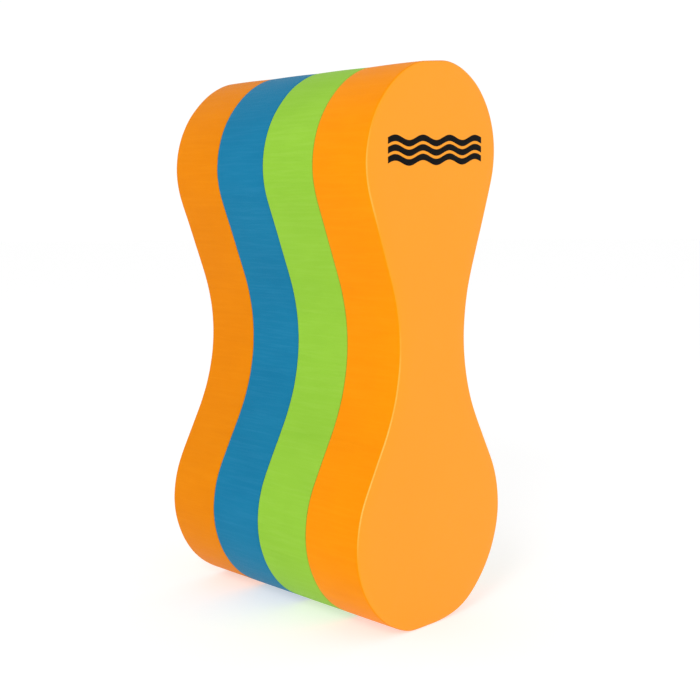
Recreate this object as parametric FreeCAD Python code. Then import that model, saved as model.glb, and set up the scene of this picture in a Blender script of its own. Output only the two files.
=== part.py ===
import FreeCAD, Part
import math
import os

# A pull buoy: the float that a swimmer holds between the thighs.
# Four slabs of closed-cell foam with one figure-eight outline are glued face to face into a stack.
# It stands upright on the flat end of its larger lobe.
#   X  width of the figure eight
#   Y  direction of the stack: the printed front face is at -Y, the plain rear face at +Y
#   Z  length of the figure eight, up from the base
# The origin is the centre of the bottom flat. All lengths are in millimetres.

# Driving dimensions of the figure-eight outline
HEIGHT = 231.0
TOP_LOBE_RADIUS = 39.0
BOTTOM_LOBE_RADIUS = 44.4
TOP_FLAT_HALF_WIDTH = 8.3
BOTTOM_FLAT_HALF_WIDTH = 12.5
FLAT_CORNER_RADIUS = 12.0
WAIST_HALF_WIDTH = 20.0
WAIST_ARC_RADIUS = 78.0
WAIST_HEIGHT = 119.3

# Driving dimensions of the stack
STACK_DEPTH = 120.0
GLUE_THICKNESS = 0.2
GLUE_INSET = 0.5
END_EDGE_RADIUS = 1.0

# The printed mark: bold wave lines, one above the other
MARK_WIDTH = 56.0
MARK_CENTRE_X = 1.0
MARK_CENTRE_Z = 196.0
MARK_WAVES = 3
WAVE_PITCH = 3.7
WAVE_LINE_HEIGHT = 2.5
WAVE_AMPLITUDE = 1.05
WAVE_CYCLES = 3.5
POINTS_PER_HALF_WAVE = 8
INK_THICKNESS = 0.1

SLAB_COUNT = 4
SLAB_THICKNESS = (STACK_DEPTH - (SLAB_COUNT - 1) * GLUE_THICKNESS) / SLAB_COUNT
FRONT_Y = -STACK_DEPTH / 2
SLAB_PITCH = SLAB_THICKNESS + GLUE_THICKNESS
SAME_PLACE = 1e-6


def point(x, z, y=0.0):
    """A point of the outline, which is drawn in the XZ plane."""
    return FreeCAD.Vector(x, y, z)


def arc(centre, radius, start, end):
    """A circular arc about centre, between two angles measured from +X towards +Z."""
    places = []
    for angle in (start, (start + end) / 2, end):
        x = centre[0] + radius * math.cos(angle)
        z = centre[1] + radius * math.sin(angle)
        places.append(point(x, z))
    return Part.Arc(*places).toShape()


def lobe_centre_offset(radius, flat_half_width):
    """Distance from a lobe's flat end to the centre of its arc."""
    return math.sqrt(radius ** 2 - flat_half_width ** 2)


def corner_centre_x(radius, centre_offset):
    """X of the centre of the arc that eases the corner between a flat and its lobe."""
    return math.sqrt((radius - FLAT_CORNER_RADIUS) ** 2 - (centre_offset - FLAT_CORNER_RADIUS) ** 2)


def tangent_angle(lobe_z, lobe_radius, side):
    """Angle, about the lobe's centre, where the straight run to the waist arc leaves the lobe.

    side is +1 for the top lobe and -1 for the bottom lobe.
    """
    run = WAIST_HALF_WIDTH + WAIST_ARC_RADIUS
    rise = WAIST_HEIGHT - lobe_z
    spread = math.acos((lobe_radius + WAIST_ARC_RADIUS) / math.hypot(run, rise))
    return math.atan2(rise, run) + side * spread


def mirrored(edges):
    """The same edges on the other side of the YZ plane."""
    return [edge.mirror(point(0, 0), FreeCAD.Vector(1, 0, 0)) for edge in edges]


def figure_eight(inset=0.0):
    """Closed outline of a slab, moved inwards by inset all the way round."""
    top_offset = lobe_centre_offset(TOP_LOBE_RADIUS, TOP_FLAT_HALF_WIDTH)
    bottom_offset = lobe_centre_offset(BOTTOM_LOBE_RADIUS, BOTTOM_FLAT_HALF_WIDTH)
    top_centre = (0.0, HEIGHT - top_offset)
    bottom_centre = (0.0, bottom_offset)
    waist_centre = (WAIST_HALF_WIDTH + WAIST_ARC_RADIUS, WAIST_HEIGHT)
    top_corner = (corner_centre_x(TOP_LOBE_RADIUS, top_offset), HEIGHT - FLAT_CORNER_RADIUS)
    bottom_corner = (corner_centre_x(BOTTOM_LOBE_RADIUS, bottom_offset), FLAT_CORNER_RADIUS)

    lower_leave = tangent_angle(bottom_centre[1], BOTTOM_LOBE_RADIUS, -1)
    upper_leave = tangent_angle(top_centre[1], TOP_LOBE_RADIUS, +1)
    lower_join = math.atan2(bottom_corner[1] - bottom_centre[1], bottom_corner[0])
    upper_join = math.atan2(top_corner[1] - top_centre[1], top_corner[0])

    corner_radius = FLAT_CORNER_RADIUS - inset
    right_arcs = [
        arc(bottom_corner, corner_radius, -math.pi / 2, lower_join),
        arc(bottom_centre, BOTTOM_LOBE_RADIUS - inset, lower_join, lower_leave),
        arc(waist_centre, WAIST_ARC_RADIUS + inset, math.pi + lower_leave, math.pi + upper_leave),
        arc(top_centre, TOP_LOBE_RADIUS - inset, upper_leave, upper_join),
        arc(top_corner, corner_radius, upper_join, math.pi / 2),
    ]
    lower_run = Part.makeLine(right_arcs[1].lastVertex().Point, right_arcs[2].firstVertex().Point)
    upper_run = Part.makeLine(right_arcs[2].lastVertex().Point, right_arcs[3].firstVertex().Point)
    right = right_arcs + [lower_run, upper_run]

    flats = []
    for x, z in ((bottom_corner[0], inset), (top_corner[0], HEIGHT - inset)):
        flats.append(Part.makeLine(point(-x, z), point(x, z)))
    return Part.Wire(Part.__sortEdges__(right + flats + mirrored(right)))


def layer(front_y, thickness, inset=0.0):
    """A flat layer of the figure-eight outline, from front_y towards the rear."""
    face = Part.Face(figure_eight(inset))
    face.translate(FreeCAD.Vector(0, front_y, 0))
    return face.extrude(FreeCAD.Vector(0, thickness, 0))


def slab(index):
    """Foam slab number index, counted from the front."""
    return layer(FRONT_Y + index * SLAB_PITCH, SLAB_THICKNESS)


def glue_film(index):
    """The film of adhesive behind slab number index. It stops just short of the slabs' edge."""
    return layer(FRONT_Y + index * SLAB_PITCH + SLAB_THICKNESS, GLUE_THICKNESS, GLUE_INSET)


def rounded_end(solid, face_y):
    """The slab with the edge all round its outer face rounded over."""
    rim = []
    for edge in solid.Edges:
        nearest = abs(edge.BoundBox.YMin - face_y)
        farthest = abs(edge.BoundBox.YMax - face_y)
        if max(nearest, farthest) < SAME_PLACE:
            rim.append(edge)
    return solid.makeFillet(END_EDGE_RADIUS, rim)


def wave_line(centre_z):
    """One line of the printed mark: a sine band of even height with square ends."""
    steps = POINTS_PER_HALF_WAVE * round(2 * WAVE_CYCLES)
    lower = []
    upper = []
    for step in range(steps + 1):
        x = MARK_CENTRE_X + MARK_WIDTH * (step / steps - 0.5)
        z = centre_z + WAVE_AMPLITUDE * math.sin(2 * math.pi * WAVE_CYCLES * step / steps)
        lower.append(point(x, z - WAVE_LINE_HEIGHT / 2, FRONT_Y))
        upper.append(point(x, z + WAVE_LINE_HEIGHT / 2, FRONT_Y))
    lower_curve = Part.BSplineCurve()
    lower_curve.interpolate(lower)
    upper_curve = Part.BSplineCurve()
    upper_curve.interpolate(upper)
    ends = [Part.makeLine(lower[0], upper[0]), Part.makeLine(lower[-1], upper[-1])]
    wire = Part.Wire(Part.__sortEdges__([lower_curve.toShape(), upper_curve.toShape()] + ends))
    return Part.Face(wire).extrude(FreeCAD.Vector(0, -INK_THICKNESS, 0))


def printed_mark():
    """The ink of the mark: separate wave lines, evenly spaced about its centre."""
    middle = (MARK_WAVES - 1) / 2
    centres = [MARK_CENTRE_Z + (row - middle) * WAVE_PITCH for row in range(MARK_WAVES)]
    return Part.makeCompound([wave_line(centre_z) for centre_z in centres])


NODES = {
    "front_end_slab": rounded_end(slab(0), FRONT_Y),
    "front_glue_film": glue_film(0),
    "front_middle_slab": slab(1),
    "middle_glue_film": glue_film(1),
    "rear_middle_slab": slab(2),
    "rear_glue_film": glue_film(2),
    "rear_end_slab": rounded_end(slab(3), -FRONT_Y),
    "printed_mark": printed_mark(),
}

os.makedirs("parts", exist_ok=True)
for name, shape in NODES.items():
    shape.exportStep("parts/" + name + ".step")
    size = shape.BoundBox
    print(name, len(shape.Solids), shape.isValid(), round(shape.Volume),
          round(size.XLength, 2), round(size.YLength, 2), round(size.ZLength, 2))
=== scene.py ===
import math

import bmesh
import bpy
from mathutils import Matrix, Vector, noise


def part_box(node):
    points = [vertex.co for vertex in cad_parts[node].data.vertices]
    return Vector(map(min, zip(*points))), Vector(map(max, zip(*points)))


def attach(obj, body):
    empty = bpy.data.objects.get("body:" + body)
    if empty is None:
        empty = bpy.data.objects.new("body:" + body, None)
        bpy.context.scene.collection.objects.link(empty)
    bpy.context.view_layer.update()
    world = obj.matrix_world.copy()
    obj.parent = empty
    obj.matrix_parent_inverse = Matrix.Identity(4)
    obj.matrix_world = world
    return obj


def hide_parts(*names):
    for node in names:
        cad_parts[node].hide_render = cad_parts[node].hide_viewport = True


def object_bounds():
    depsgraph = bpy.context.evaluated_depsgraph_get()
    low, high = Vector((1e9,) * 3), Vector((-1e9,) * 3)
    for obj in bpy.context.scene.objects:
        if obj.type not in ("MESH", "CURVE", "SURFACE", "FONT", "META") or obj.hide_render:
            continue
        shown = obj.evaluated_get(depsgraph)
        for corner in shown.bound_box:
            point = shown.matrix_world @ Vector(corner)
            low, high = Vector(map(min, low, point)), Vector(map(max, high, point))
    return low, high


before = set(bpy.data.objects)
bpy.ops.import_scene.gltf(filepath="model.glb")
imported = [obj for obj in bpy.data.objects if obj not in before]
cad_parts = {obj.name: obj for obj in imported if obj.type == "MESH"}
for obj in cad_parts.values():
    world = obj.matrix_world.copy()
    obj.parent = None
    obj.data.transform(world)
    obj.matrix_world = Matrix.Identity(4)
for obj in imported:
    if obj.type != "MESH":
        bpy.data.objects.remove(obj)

# A pull buoy of four foam slabs, standing on the flat end of its larger lobe.
# X is its width, Y the direction of the stack from front to rear, and Z its length. Metres.
CAD_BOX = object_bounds()
BASE_Z = CAD_BOX[0].z
HALF_HEIGHT = (CAD_BOX[1].z - CAD_BOX[0].z) / 2

# Two coordinates that differ by less than this, or are alike to this many decimals, are one place
SAME_PLACE = 1e-6
PLACE_DECIMALS = 6

# Length of a mesh step along the outline, steps across half a flat end, and length across a wall
OUTLINE_STEP = 0.0014
FLAT_STEPS = 8
WALL_STEP = 0.0015

# Times that the outline's points are averaged with their neighbours
EASING_ROUNDS = 6

# Distance from the middle where the base's rounder right side joins the lobe
CORNER_SPAN = 0.026

# A slab's edges are eased where it is glued, and its wall draws in towards both its edges
SEAM_RADIUS = 0.00022
SEAM_STEPS = 3
WALL_BOW = 0.00016

# How far the cuts and the adhesive stray, and their waves to a metre along X, Y and Z
BLADE_WANDER = 0.00012
BLADE_WAVES = (70, 5, 70)
SLAB_WANDER = 0.00005
SLAB_WAVES = (150, 25, 150)
GLUE_WANDER = 0.00012
GLUE_WAVES = (260, 40, 260)

# Height above the base over which the bow, the straying and the askew cut fade in
BASE_FADE = 0.012

# How an end slab's flat face rolls off towards its rounded edge
ROLL_WIDTH = 0.008
ROLL_DROP = 0.00030
ROLL_STEPS = 5
ROUND_STEPS = 8

# The skin's rim starts at a share of the drop, and ends past the drop by a share of the edge's radius
RIM_START = 0.86
SKIN_SHARE = 0.3

# An end slab's materials come in this order, after the cut foam of its wall
SKIN_INDEX = 1
RIM_INDEX = 2

# Heights between which the rim carries a painted highlight, pale and patchy, and how far their ends are
# blurred
HIGHLIGHT_STRETCHES = ((0.046, 0.118), (0.172, 0.196))
HIGHLIGHT_BLUR = 0.009

# The outline was cut a little askew: its right side sits higher than its left, most at the top.
# These are the slope at half height, what the top adds to it, and the print's own slope.
SKEW_AT_MIDDLE = 0.060
SKEW_GAIN = 0.038
MARK_SKEW = 0.038

# The print: lines, waves along each, and shares of the mark's whole height
MARK_LINES = 3
MARK_CYCLES = 3.5
MARK_STEPS = 140
LINE_SHARE = 2.5 / 12.0
SWING_SHARE = 1.05 / 12.0

# A printed line's section: its sides as a share of its thickness, its flat top as one of its width
INK_SIDE = 0.6
INK_TOP = 0.93

# The camera, in the row frame
CAMERA_PLACE = Vector((-0.3519, -0.3680, 0.1734))
CAMERA_AIM = Vector((0.6973, 0.7063, -0.1223))
CAMERA_ROLL = math.radians(-0.24)
CAMERA_LENS = 59.5
CAMERA_SENSOR = 36.0
CAMERA_CLIP = 0.01

# The studio's floor, which glows softly so that it stays pale
FLOOR_RADIUS = 6.0
FLOOR_SIDES = 96
FLOOR_TONE = 0.62
FLOOR_GLOW = 0.51

# White light from all round. It weakens between two heights in the sky: 0 is level, 1 straight up.
AIR_LEVEL = 1.03
AIR_OVERHEAD = 0.58
AIR_FALL_START = 0.35
AIR_FALL_END = 0.95

# The studio's one lamp: a round softbox, up on the left
LAMP_PLACE = Vector((-1.0, -0.55, 0.85))
LAMP_AIM = Vector((0.0, 0.0, 0.10))
LAMP_SIZE = 0.4
LAMP_POWER = 4.7

WHITE = (1.0, 1.0, 1.0, 1.0)


def linear(*srgb):
    """A colour given as 0 to 255 sRGB values, as the linear values that shaders use."""
    values = []
    for channel in srgb:
        share = channel / 255
        values.append(share / 12.92 if share <= 0.04045 else ((share + 0.055) / 1.055) ** 2.4)
    return (*values, 1.0)


def smooth(share):
    """0 below 0, 1 above 1, and an S-shaped rise between."""
    share = min(1.0, max(0.0, share))
    return share * share * (3 - 2 * share)


def straying(x, y, z, waves, seed=0.0):
    """A smooth pattern between -1 and 1, with this many waves to a metre along X, Y and Z."""
    return noise.noise(Vector((x * waves[0] + seed, y * waves[1], z * waves[2])))


# ---------------------------------------------------------------- outline, from the frame

def cad_outline(node):
    """Right half of a slab's outline as (x, z) points, from near the base up to near the top."""
    spots = set()
    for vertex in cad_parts[node].data.vertices:
        spots.add((round(vertex.co.x, PLACE_DECIMALS), round(vertex.co.z, PLACE_DECIMALS)))
    low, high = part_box(node)
    middle = (low.z + high.z) / 2
    right = [spot for spot in spots if spot[0] > SAME_PLACE]
    return sorted(right, key=lambda spot: math.atan2(spot[1] - middle, spot[0]))


def evenly(line, steps):
    """Points that divide a line of (x, z) points into equal lengths, both ends included."""
    along = [0.0]
    for a, b in zip(line, line[1:]):
        along.append(along[-1] + math.dist(a, b))
    places = []
    piece = 0
    for step in range(steps + 1):
        target = along[-1] * step / steps
        while piece < len(line) - 2 and along[piece + 1] < target:
            piece += 1
        share = (target - along[piece]) / (along[piece + 1] - along[piece])
        places.append(tuple(a + (b - a) * share for a, b in zip(line[piece], line[piece + 1])))
    return places


def eased(loop):
    """The closed loop with the small facets of the CAD mesh averaged out."""
    for _ in range(EASING_ROUNDS):
        after = loop[1:] + loop[:1]
        before = loop[-1:] + loop[:-1]
        loop = [((a[0] + 2 * b[0] + c[0]) / 4, (a[1] + 2 * b[1] + c[1]) / 4)
                for a, b, c in zip(before, loop, after)]
    return loop


def corner_rounded(loop):
    """The closed loop with the right corner of its base cut to one gentle curve.

    The curve is rise = a x^2 + b x^4. It is level at the middle of the base, so the right half of the
    base lifts a little, and it meets the lobe at the lobe's slope.
    """
    join = [x >= CORNER_SPAN for x, z in loop].index(True)
    span = loop[join][0]
    rise = loop[join][1] - BASE_Z
    (ax, az), (bx, bz) = loop[join - 1], loop[join + 1]
    slope = (bz - az) / (bx - ax)
    square = (4 * rise - slope * span) / (2 * span ** 2)
    fourth = (slope * span - 2 * rise) / (2 * span ** 4)
    curve = [(x, BASE_Z + square * x ** 2 + fourth * x ** 4) for x, z in loop[:join]]
    return curve + loop[join:]


def full_outline(node):
    """The outline as an even closed loop from the middle of the base up the right side.

    Also gives the number of steps between the base's flat and the top's flat.
    """
    low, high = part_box(node)
    right = cad_outline(node)
    base_corner = max(spot for spot in right if spot[1] < low.z + SAME_PLACE)
    top_corner = max(spot for spot in right if spot[1] > high.z - SAME_PLACE)
    between = [spot for spot in right if low.z + SAME_PLACE < spot[1] < high.z - SAME_PLACE]
    side = [base_corner] + between + [top_corner]
    length = sum(math.dist(a, b) for a, b in zip(side, side[1:]))
    side_steps = round(length / OUTLINE_STEP)
    half = evenly([(0.0, low.z), base_corner], FLAT_STEPS)
    half += evenly(side, side_steps)[1:]
    half += evenly([top_corner, (0.0, high.z)], FLAT_STEPS)[1:]
    loop = half + [(-x, z) for x, z in reversed(half[1:-1])]
    return corner_rounded(eased(loop)), side_steps


def outward(loop):
    """Unit normals of the closed loop, pointing out of the foam."""
    normals = []
    for (ax, az), (bx, bz) in zip(loop[-1:] + loop[:-1], loop[1:] + loop[:1]):
        size = math.hypot(bx - ax, bz - az)
        normals.append(((bz - az) / size, (ax - bx) / size))
    return normals


OUTLINE, SIDE_STEPS = full_outline("front_middle_slab")
NORMALS = outward(OUTLINE)


def above_base(z):
    """0 at the height of the base, rising to 1 a little above it."""
    return smooth((z - BASE_Z) / BASE_FADE)


def skewed(x, z, share=None):
    """Height of a point of the outline once it is cut askew. The base itself isn't tilted."""
    if share is None:
        share = SKEW_AT_MIDDLE + SKEW_GAIN * (z - HALF_HEIGHT) / HALF_HEIGHT
    return z + x * share * above_base(z)


# ---------------------------------------------------------------- foam slabs and glue films

def quarter(radius, steps):
    """(inset, distance from the face) pairs round a rounded edge, from the face to the wall."""
    pairs = []
    for step in range(steps + 1):
        angle = math.pi / 2 * step / steps
        pairs.append((radius * (1 - math.sin(angle)), radius * (1 - math.cos(angle))))
    return pairs


def rolled(radius):
    """The pairs of a free end: its face falls away slightly before the edge rounds over."""
    insets = [ROLL_WIDTH + (radius - ROLL_WIDTH) * step / ROLL_STEPS for step in range(ROLL_STEPS)]
    pairs = [(inset, 0.0) for inset in insets] + quarter(radius, ROUND_STEPS)
    return [(inset, distance + ROLL_DROP * (1 - inset / ROLL_WIDTH) ** 2) for inset, distance in pairs]


def wall_section(thickness, front, rear):
    """(inset, distance) pairs from the front face's rim, across the wall, to the rear rim."""
    straight = thickness - front[-1][1] - rear[-1][1]
    steps = round(straight / WALL_STEP)
    wall = [(0.0, front[-1][1] + straight * step / steps) for step in range(1, steps)]
    back = [(inset, thickness - distance) for inset, distance in reversed(rear)]
    return front + wall + back


def tube(form, rings):
    """Joins each closed ring of vertices to the next with a band of quads."""
    for near, far in zip(rings, rings[1:]):
        for a, b, c, d in zip(near, near[1:] + near[:1], far[1:] + far[:1], far):
            form.faces.new((a, b, c, d))


def cap(form, ring):
    """Closes a ring with rows of quads between its left side and its right side."""
    count = len(ring)
    across = 2 * FLAT_STEPS
    top = FLAT_STEPS + SIDE_STEPS
    row = [ring[(i - FLAT_STEPS) % count] for i in range(across + 1)]
    for step in range(1, SIDE_STEPS + 1):
        left = ring[(-FLAT_STEPS - step) % count]
        right = ring[FLAT_STEPS + step]
        if step < SIDE_STEPS:
            inner = [form.verts.new(left.co.lerp(right.co, i / across)) for i in range(1, across)]
            above = [left] + inner + [right]
        else:
            above = [ring[top + across - i] for i in range(across + 1)]
        for i in range(across):
            form.faces.new((row[i], row[i + 1], above[i + 1], above[i]))
        row = above


def linked(name, data):
    """A new object in the scene, made from a mesh, a lamp or a camera."""
    thing = bpy.data.objects.new(name, data)
    bpy.context.scene.collection.objects.link(thing)
    return thing


def solid(name, form):
    """Turns a bmesh into a smooth-shaded object in the scene."""
    bmesh.ops.recalc_face_normals(form, faces=form.faces)
    mesh = bpy.data.meshes.new(name)
    form.to_mesh(mesh)
    form.free()
    mesh.shade_smooth()
    return linked(name, mesh)


def layer(name, section, front_y, push):
    """A closed layer: one ring of points for each pair of the section, and a cap at each end.

    push gives how far a wall point stands out from the outline, from its place and its distance.
    """
    form = bmesh.new()
    rings = []
    for inset, distance in section:
        y = front_y + distance
        ring = []
        for (x, z), (nx, nz) in zip(OUTLINE, NORMALS):
            out = push(x, y, z, distance) * above_base(z) - inset
            px = x + nx * out
            ring.append(form.verts.new((px, y, skewed(px, z + nz * out))))
        rings.append(ring)
    tube(form, rings)
    cap(form, rings[0])
    cap(form, rings[-1])
    return solid(name, form)


def share_out(mesh, low_y, high_y, front_radius, rear_radius):
    """Gives a free end's flat face the skin's material and its rim the one with the painted highlight."""
    for polygon in mesh.polygons:
        y = polygon.center.y
        for depth, radius in ((y - low_y, front_radius), (high_y - y, rear_radius)):
            if radius and depth < ROLL_DROP + SKIN_SHARE * radius:
                polygon.material_index = RIM_INDEX if depth > ROLL_DROP * RIM_START else SKIN_INDEX


def end_radius(node, face_y):
    """Radius of an end slab's rounded edge, from how much shorter its flat face is than the slab."""
    low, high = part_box(node)
    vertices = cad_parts[node].data.vertices
    heights = [vertex.co.z for vertex in vertices if abs(vertex.co.y - face_y) < SAME_PLACE]
    return ((high.z - low.z) - (max(heights) - min(heights))) / 2


def foam_slab(name, node, seed, materials, round_front=False, round_rear=False):
    """One slab: rounded over at a free end, and just eased where it is glued to the next."""
    low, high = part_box(node)
    thickness = high.y - low.y
    front_radius = end_radius(node, low.y) if round_front else 0.0
    rear_radius = end_radius(node, high.y) if round_rear else 0.0
    front = rolled(front_radius) if round_front else quarter(SEAM_RADIUS, SEAM_STEPS)
    rear = rolled(rear_radius) if round_rear else quarter(SEAM_RADIUS, SEAM_STEPS)

    def push(x, y, z, distance):
        """The wall's bow, long waves that run on from slab to slab, and short ones of its own."""
        bow = WALL_BOW * (math.sin(math.pi * distance / thickness) - 1)
        shared = BLADE_WANDER * straying(x, y, z, BLADE_WAVES)
        own = SLAB_WANDER * straying(x, y, z, SLAB_WAVES, seed)
        return bow + (shared + own)

    piece = layer(name, wall_section(thickness, front, rear), low.y, push)
    for material in materials:
        piece.data.materials.append(material)
    share_out(piece.data, low.y, high.y, front_radius, rear_radius)
    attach(piece, "root")
    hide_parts(node)


def glue_film(name, node, material):
    """The thin line of adhesive at the bottom of a seam."""
    low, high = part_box(node)
    inset = low.z - BASE_Z

    def push(x, y, z, distance):
        """The uneven edge of the adhesive."""
        return GLUE_WANDER * straying(x, y, z, GLUE_WAVES)

    piece = layer(name, [(inset, 0.0), (inset, high.y - low.y)], low.y, push)
    piece.data.materials.append(material)
    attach(piece, "root")
    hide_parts(node)


# ---------------------------------------------------------------- print

def wave_line(form, low, high, centre_z):
    """One line of the print: a low sine band with chamfered edges, closed underneath."""
    height = high.z - low.z
    half_line = LINE_SHARE * height / 2
    swing = SWING_SHARE * height
    proud = high.y - low.y
    upper = [(INK_TOP, 1.0), (1.0, INK_SIDE), (1.0, 0.0)]
    lower = [(-across, lift) for across, lift in reversed(upper)]
    section = lower + [(0.0, 1.0)] + upper
    middle_x = (low.x + high.x) / 2
    rows = []
    for step in range(MARK_STEPS + 1):
        share = step / MARK_STEPS
        x = low.x + (high.x - low.x) * share
        z = centre_z + swing * math.sin(2 * math.pi * MARK_CYCLES * share)
        row = []
        for across, lift in section:
            tilted = skewed(x - middle_x, z + across * half_line, MARK_SKEW)
            row.append(form.verts.new((x, high.y - proud * lift, tilted)))
        rows.append(row)
    tube(form, rows)
    form.faces.new(rows[0])
    form.faces.new(rows[-1])


def print_mark(material):
    """A plain motif of wave lines, one above the other."""
    low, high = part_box("printed_mark")
    middle_z = (low.z + high.z) / 2
    height = high.z - low.z
    pitch = height * (1 - LINE_SHARE - 2 * SWING_SHARE) / (MARK_LINES - 1)
    form = bmesh.new()
    for line in range(MARK_LINES):
        wave_line(form, low, high, middle_z + (line - (MARK_LINES - 1) / 2) * pitch)
    piece = solid("print_waves", form)
    piece.data.materials.append(material)
    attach(piece, "root")
    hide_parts("printed_mark")


# ---------------------------------------------------------------- materials

class Shading:
    """Short calls that add shader nodes to one new material."""

    def __init__(self, name):
        self.material = bpy.data.materials.new(name)
        self.material.use_nodes = True
        self.tree = self.material.node_tree
        self.shader = self.tree.nodes["Principled BSDF"]
        self.place = self.add("ShaderNodeTexCoord").outputs["Object"]

    def add(self, kind, **settings):
        node = self.tree.nodes.new(kind)
        for key, value in settings.items():
            setattr(node, key, value)
        return node

    def feed(self, socket, value):
        """Links an output into a socket, or sets the socket to a plain value."""
        if isinstance(value, bpy.types.NodeSocket):
            self.tree.links.new(value, socket)
        else:
            socket.default_value = value

    def surface(self, name, value):
        """Feeds one of the shader's own sockets."""
        self.feed(self.shader.inputs[name], value)

    def noise(self, scale, detail, roughness, stretch=(1.0, 1.0, 1.0)):
        """A cloudy pattern. A stretch below 1 draws it out along that axis."""
        moved = self.add("ShaderNodeMapping")
        self.feed(moved.inputs["Vector"], self.place)
        self.feed(moved.inputs["Scale"], stretch)
        node = self.add("ShaderNodeTexNoise")
        self.feed(node.inputs["Vector"], moved.outputs["Vector"])
        self.feed(node.inputs["Scale"], scale)
        self.feed(node.inputs["Detail"], detail)
        self.feed(node.inputs["Roughness"], roughness)
        return node.outputs["Fac"]

    def cells(self, scale):
        """Distance to the nearest cell wall, for the pores of cut foam."""
        node = self.add("ShaderNodeTexVoronoi", feature="DISTANCE_TO_EDGE")
        self.feed(node.inputs["Vector"], self.place)
        self.feed(node.inputs["Scale"], scale)
        return node.outputs["Distance"]

    def ranged(self, value, start, end, low, high):
        """low up to where the value is start, high from where it is end, and a ramp between."""
        node = self.add("ShaderNodeMapRange")
        self.feed(node.inputs["Value"], value)
        self.feed(node.inputs["From Min"], start)
        self.feed(node.inputs["From Max"], end)
        self.feed(node.inputs["To Min"], low)
        self.feed(node.inputs["To Max"], high)
        return node.outputs["Result"]

    def maths(self, operation, a, b):
        node = self.add("ShaderNodeMath", operation=operation)
        self.feed(node.inputs[0], a)
        self.feed(node.inputs[1], b)
        return node.outputs["Value"]

    def band(self, low, high, blur):
        """1 well between two heights above the base, 0 past them, and a ramp at each end. Metres."""
        split = self.add("ShaderNodeSeparateXYZ")
        self.feed(split.inputs["Vector"], self.place)
        height = split.outputs["Z"]
        above = self.ranged(height, start=low - blur, end=low + blur, low=0.0, high=1.0)
        below = self.ranged(height, start=high - blur, end=high + blur, low=1.0, high=0.0)
        return self.maths("MULTIPLY", above, below)

    def mixed(self, share, a, b):
        node = self.add("ShaderNodeMix", data_type="RGBA")
        self.feed(node.inputs["Factor"], share)
        colours = [socket for socket in node.inputs if socket.type == "RGBA"]
        self.feed(colours[0], a)
        self.feed(colours[1], b)
        return [socket for socket in node.outputs if socket.type == "RGBA"][0]

    def tinted(self, colour, tint, pattern, start, end, most):
        """The colour, with a share of the tint: none where the pattern is start, most where it is end."""
        return self.mixed(self.ranged(pattern, start, end, low=0.0, high=most), colour, tint)

    def bumped(self, height, distance, strength):
        node = self.add("ShaderNodeBump")
        self.feed(node.inputs["Height"], height)
        self.feed(node.inputs["Distance"], distance)
        self.feed(node.inputs["Strength"], strength)
        self.surface("Normal", node.outputs["Normal"])


def cut_foam(name, colour, light, dark):
    """The wall of a slab: closed-cell foam cut open, with pores and streaks along the blade's path."""
    made = Shading(name)
    broad = made.noise(scale=34.0, detail=3.0, roughness=0.60, stretch=(1.0, 0.7, 1.0))
    streaks = made.noise(scale=900.0, detail=4.0, roughness=0.6, stretch=(1.0, 0.05, 1.0))
    drag = made.noise(scale=260.0, detail=2.0, roughness=0.5, stretch=(1.0, 0.08, 1.0))
    grain = made.noise(scale=2600.0, detail=2.0, roughness=0.6)
    pores = made.cells(scale=1700.0)

    mottled = made.tinted(colour, dark, broad, start=0.35, end=0.60, most=0.17)
    streaked = made.tinted(mottled, light, streaks, start=0.45, end=0.75, most=0.20)
    dragged = made.tinted(streaked, dark, drag, start=0.5, end=0.75, most=0.10)
    speckled = made.tinted(dragged, dark, grain, start=0.58, end=0.75, most=0.12)
    made.surface("Base Color", speckled)
    made.surface("Roughness", made.ranged(grain, start=0.3, end=0.7, low=0.72, high=0.88))
    made.surface("Specular IOR Level", 0.04)
    made.surface("Sheen Weight", 0.12)
    made.surface("Sheen Roughness", 0.35)

    hollow = made.ranged(pores, start=0.0, end=0.12, low=0.0, high=0.5)
    grain_share = 0.35
    fine = made.maths("MULTIPLY", grain, grain_share)
    relief = made.maths("ADD", made.maths("ADD", hollow, streaks), fine)
    made.bumped(relief, distance=0.00020, strength=0.30)
    return made.material


def satin(made, grain):
    """Gives a material the soft gloss that a sheet's skin and its rim share."""
    made.surface("Roughness", made.ranged(grain, start=0.3, end=0.7, low=0.36, high=0.52))
    made.surface("Specular IOR Level", 0.32)


def skin_foam(name, colour, light, dark):
    """The face of a foam sheet: closed, with a satin sheen, a fine grain and a few soft dents."""
    made = Shading(name)
    broad = made.noise(scale=18.0, detail=3.0, roughness=0.5)
    dents = made.noise(scale=120.0, detail=2.0, roughness=0.5)
    grain = made.noise(scale=2200.0, detail=3.0, roughness=0.65)

    mottled = made.tinted(colour, light, broad, start=0.35, end=0.65, most=0.12)
    speckled = made.tinted(mottled, dark, grain, start=0.55, end=0.75, most=0.12)
    made.surface("Base Color", speckled)
    satin(made, grain)

    dent_share = 2.0
    relief = made.maths("ADD", grain, made.maths("MULTIPLY", dents, dent_share))
    made.bumped(relief, distance=0.00016, strength=0.30)
    return made.material


def highlight_rim_foam(name, colour, pale):
    """The rim of a sheet's skin, with a painted highlight: pale, patchy stretches of it between given
    heights.
    """
    made = Shading(name)
    along = made.noise(scale=32.0, detail=3.0, roughness=0.6)
    grain = made.noise(scale=1800.0, detail=2.0, roughness=0.6)
    patches = made.ranged(along, start=0.32, end=0.56, low=0.2, high=0.9)
    flecks = made.ranged(grain, start=0.25, end=0.6, low=0.5, high=1.0)
    # Painted highlight: the pale colour goes in patchily, and only between the given heights.
    lower, upper = [made.band(low, high, HIGHLIGHT_BLUR) for low, high in HIGHLIGHT_STRETCHES]
    patchy = made.maths("MULTIPLY", patches, flecks)
    highlighted = made.maths("MULTIPLY", patchy, made.maths("ADD", lower, upper))
    made.surface("Base Color", made.mixed(highlighted, colour, pale))
    satin(made, grain)
    made.bumped(grain, distance=0.00016, strength=0.30)
    return made.material


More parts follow.
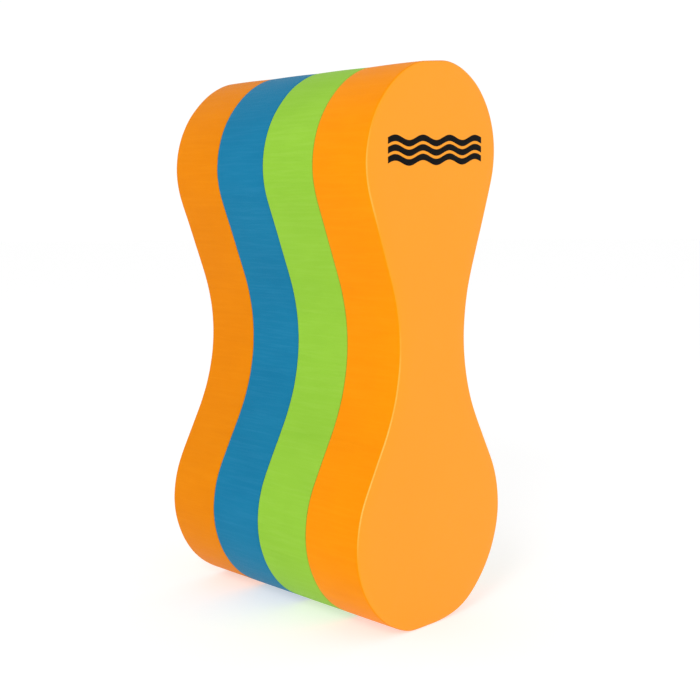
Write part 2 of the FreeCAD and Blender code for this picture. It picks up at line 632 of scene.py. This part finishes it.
def glue(name, colour, dusty):
    """Dried contact adhesive: dull, blotchy and a little lumpy."""
    made = Shading(name)
    blotch = made.noise(scale=900.0, detail=3.0, roughness=0.6)
    made.surface("Base Color", made.tinted(colour, dusty, blotch, start=0.35, end=0.65, most=1.0))
    made.surface("Roughness", made.ranged(blotch, start=0.3, end=0.7, low=0.45, high=0.7))
    made.bumped(blotch, distance=0.0002, strength=0.4)
    return made.material


def ink(name, black, thin):
    """Screen ink on foam: near black, with pinholes and a skin that follows the foam's grain."""
    made = Shading(name)
    grain = made.noise(scale=2400.0, detail=2.0, roughness=0.6)
    wear = made.noise(scale=420.0, detail=5.0, roughness=0.65)
    pinholes = made.ranged(grain, start=0.68, end=0.78, low=0.0, high=0.5)
    worn = made.ranged(wear, start=0.60, end=0.80, low=0.0, high=0.25)
    made.surface("Base Color", made.mixed(made.maths("MAXIMUM", pinholes, worn), black, thin))
    made.surface("Roughness", made.ranged(wear, start=0.3, end=0.7, low=0.42, high=0.6))
    made.surface("Specular IOR Level", 0.08)
    made.bumped(grain, distance=0.0002, strength=0.25)
    return made.material


# ---------------------------------------------------------------- the object

ORANGE = cut_foam("orange_cut", colour=linear(244, 144, 2), light=linear(250, 162, 24),
                  dark=linear(220, 118, 0))
# Painted shade: the rear end slab's wall is the same orange foam as the front one, darkened to stand for
# light falling off towards the rear.
SHADED_REAR_ORANGE = cut_foam("rear_orange_cut_painted_shade", colour=linear(228, 132, 2), light=linear(238, 150, 24),
                       dark=linear(204, 108, 0))
ORANGE_SKIN = skin_foam("orange_skin", colour=linear(249, 155, 6), light=linear(254, 165, 24),
                        dark=linear(228, 132, 2))
# The rim's pale colour is a painted highlight.
ORANGE_RIM_HIGHLIGHT = highlight_rim_foam("orange_rim_painted_highlight", colour=linear(249, 155, 6), pale=linear(255, 190, 84))
GREEN = cut_foam("green_cut", colour=linear(145, 197, 60), light=linear(170, 214, 92),
                 dark=linear(118, 171, 42))
BLUE = cut_foam("blue_cut", colour=linear(22, 120, 160), light=linear(58, 142, 184),
                dark=linear(8, 98, 140))
GLUE = glue("dried_glue", colour=linear(226, 204, 132), dusty=linear(178, 160, 102))
INK = ink("print_ink", black=linear(3, 3, 4), thin=linear(60, 38, 16))

foam_slab("front_end_foam", "front_end_slab", seed=11.0,
          materials=(ORANGE, ORANGE_SKIN, ORANGE_RIM_HIGHLIGHT), round_front=True)
foam_slab("front_middle_foam", "front_middle_slab", seed=23.0,
          materials=(GREEN,))
foam_slab("rear_middle_foam", "rear_middle_slab", seed=37.0,
          materials=(BLUE,))
foam_slab("rear_end_foam", "rear_end_slab", seed=51.0,
          materials=(SHADED_REAR_ORANGE, ORANGE_SKIN, ORANGE_RIM_HIGHLIGHT), round_rear=True)
glue_film("front_seam_glue", "front_glue_film", GLUE)
glue_film("middle_seam_glue", "middle_glue_film", GLUE)
glue_film("rear_seam_glue", "rear_glue_film", GLUE)
print_mark(INK)


# ---------------------------------------------------------------- studio

def studio_floor():
    """A wide pale round floor, level with the buoy's base."""
    form = bmesh.new()
    bmesh.ops.create_circle(form, cap_ends=True, segments=FLOOR_SIDES, radius=FLOOR_RADIUS)
    floor = solid("studio_floor", form)
    made = Shading("studio_pale")
    made.surface("Base Color", (FLOOR_TONE, FLOOR_TONE, FLOOR_TONE, 1.0))
    made.surface("Emission Color", WHITE)
    made.surface("Emission Strength", FLOOR_GLOW)
    made.surface("Roughness", 1.0)
    made.surface("Specular IOR Level", 0.0)
    floor.data.materials.append(made.material)


def studio_lamp():
    """A round softbox, turned towards the buoy."""
    lamp = bpy.data.lights.new("left_box", "AREA")
    lamp.shape = "DISK"
    lamp.size = LAMP_SIZE
    lamp.energy = LAMP_POWER
    holder = linked("left_box", lamp)
    holder.location = LAMP_PLACE
    holder.rotation_euler = (LAMP_AIM - LAMP_PLACE).to_track_quat("-Z", "Y").to_euler()


def studio_air():
    """White light from all round, less of it from overhead."""
    world = bpy.data.worlds.new("studio_air")
    world.use_nodes = True
    nodes = world.node_tree.nodes
    links = world.node_tree.links
    split = nodes.new("ShaderNodeSeparateXYZ")
    fall = nodes.new("ShaderNodeMapRange")
    fall.inputs["From Min"].default_value = AIR_FALL_START
    fall.inputs["From Max"].default_value = AIR_FALL_END
    fall.inputs["To Min"].default_value = AIR_LEVEL
    fall.inputs["To Max"].default_value = AIR_OVERHEAD
    links.new(nodes.new("ShaderNodeTexCoord").outputs["Generated"], split.inputs["Vector"])
    links.new(split.outputs["Z"], fall.inputs["Value"])
    background = nodes["Background"]
    background.inputs["Color"].default_value = WHITE
    links.new(fall.outputs["Result"], background.inputs["Strength"])
    bpy.context.scene.world = world


def studio_camera():
    """The camera, upright but for a slight roll."""
    camera = linked("camera", bpy.data.cameras.new("camera"))
    camera.data.lens = CAMERA_LENS
    camera.data.sensor_width = CAMERA_SENSOR
    camera.data.clip_start = CAMERA_CLIP
    camera.rotation_mode = "QUATERNION"
    level = CAMERA_AIM.to_track_quat("-Z", "Y")
    camera.rotation_quaternion = level @ Matrix.Rotation(CAMERA_ROLL, 4, "Z").to_quaternion()
    camera.location = CAMERA_PLACE
    bpy.context.scene.camera = camera


studio_floor()
studio_air()
studio_lamp()
studio_camera()
bpy.context.scene.view_settings.view_transform = "Standard"
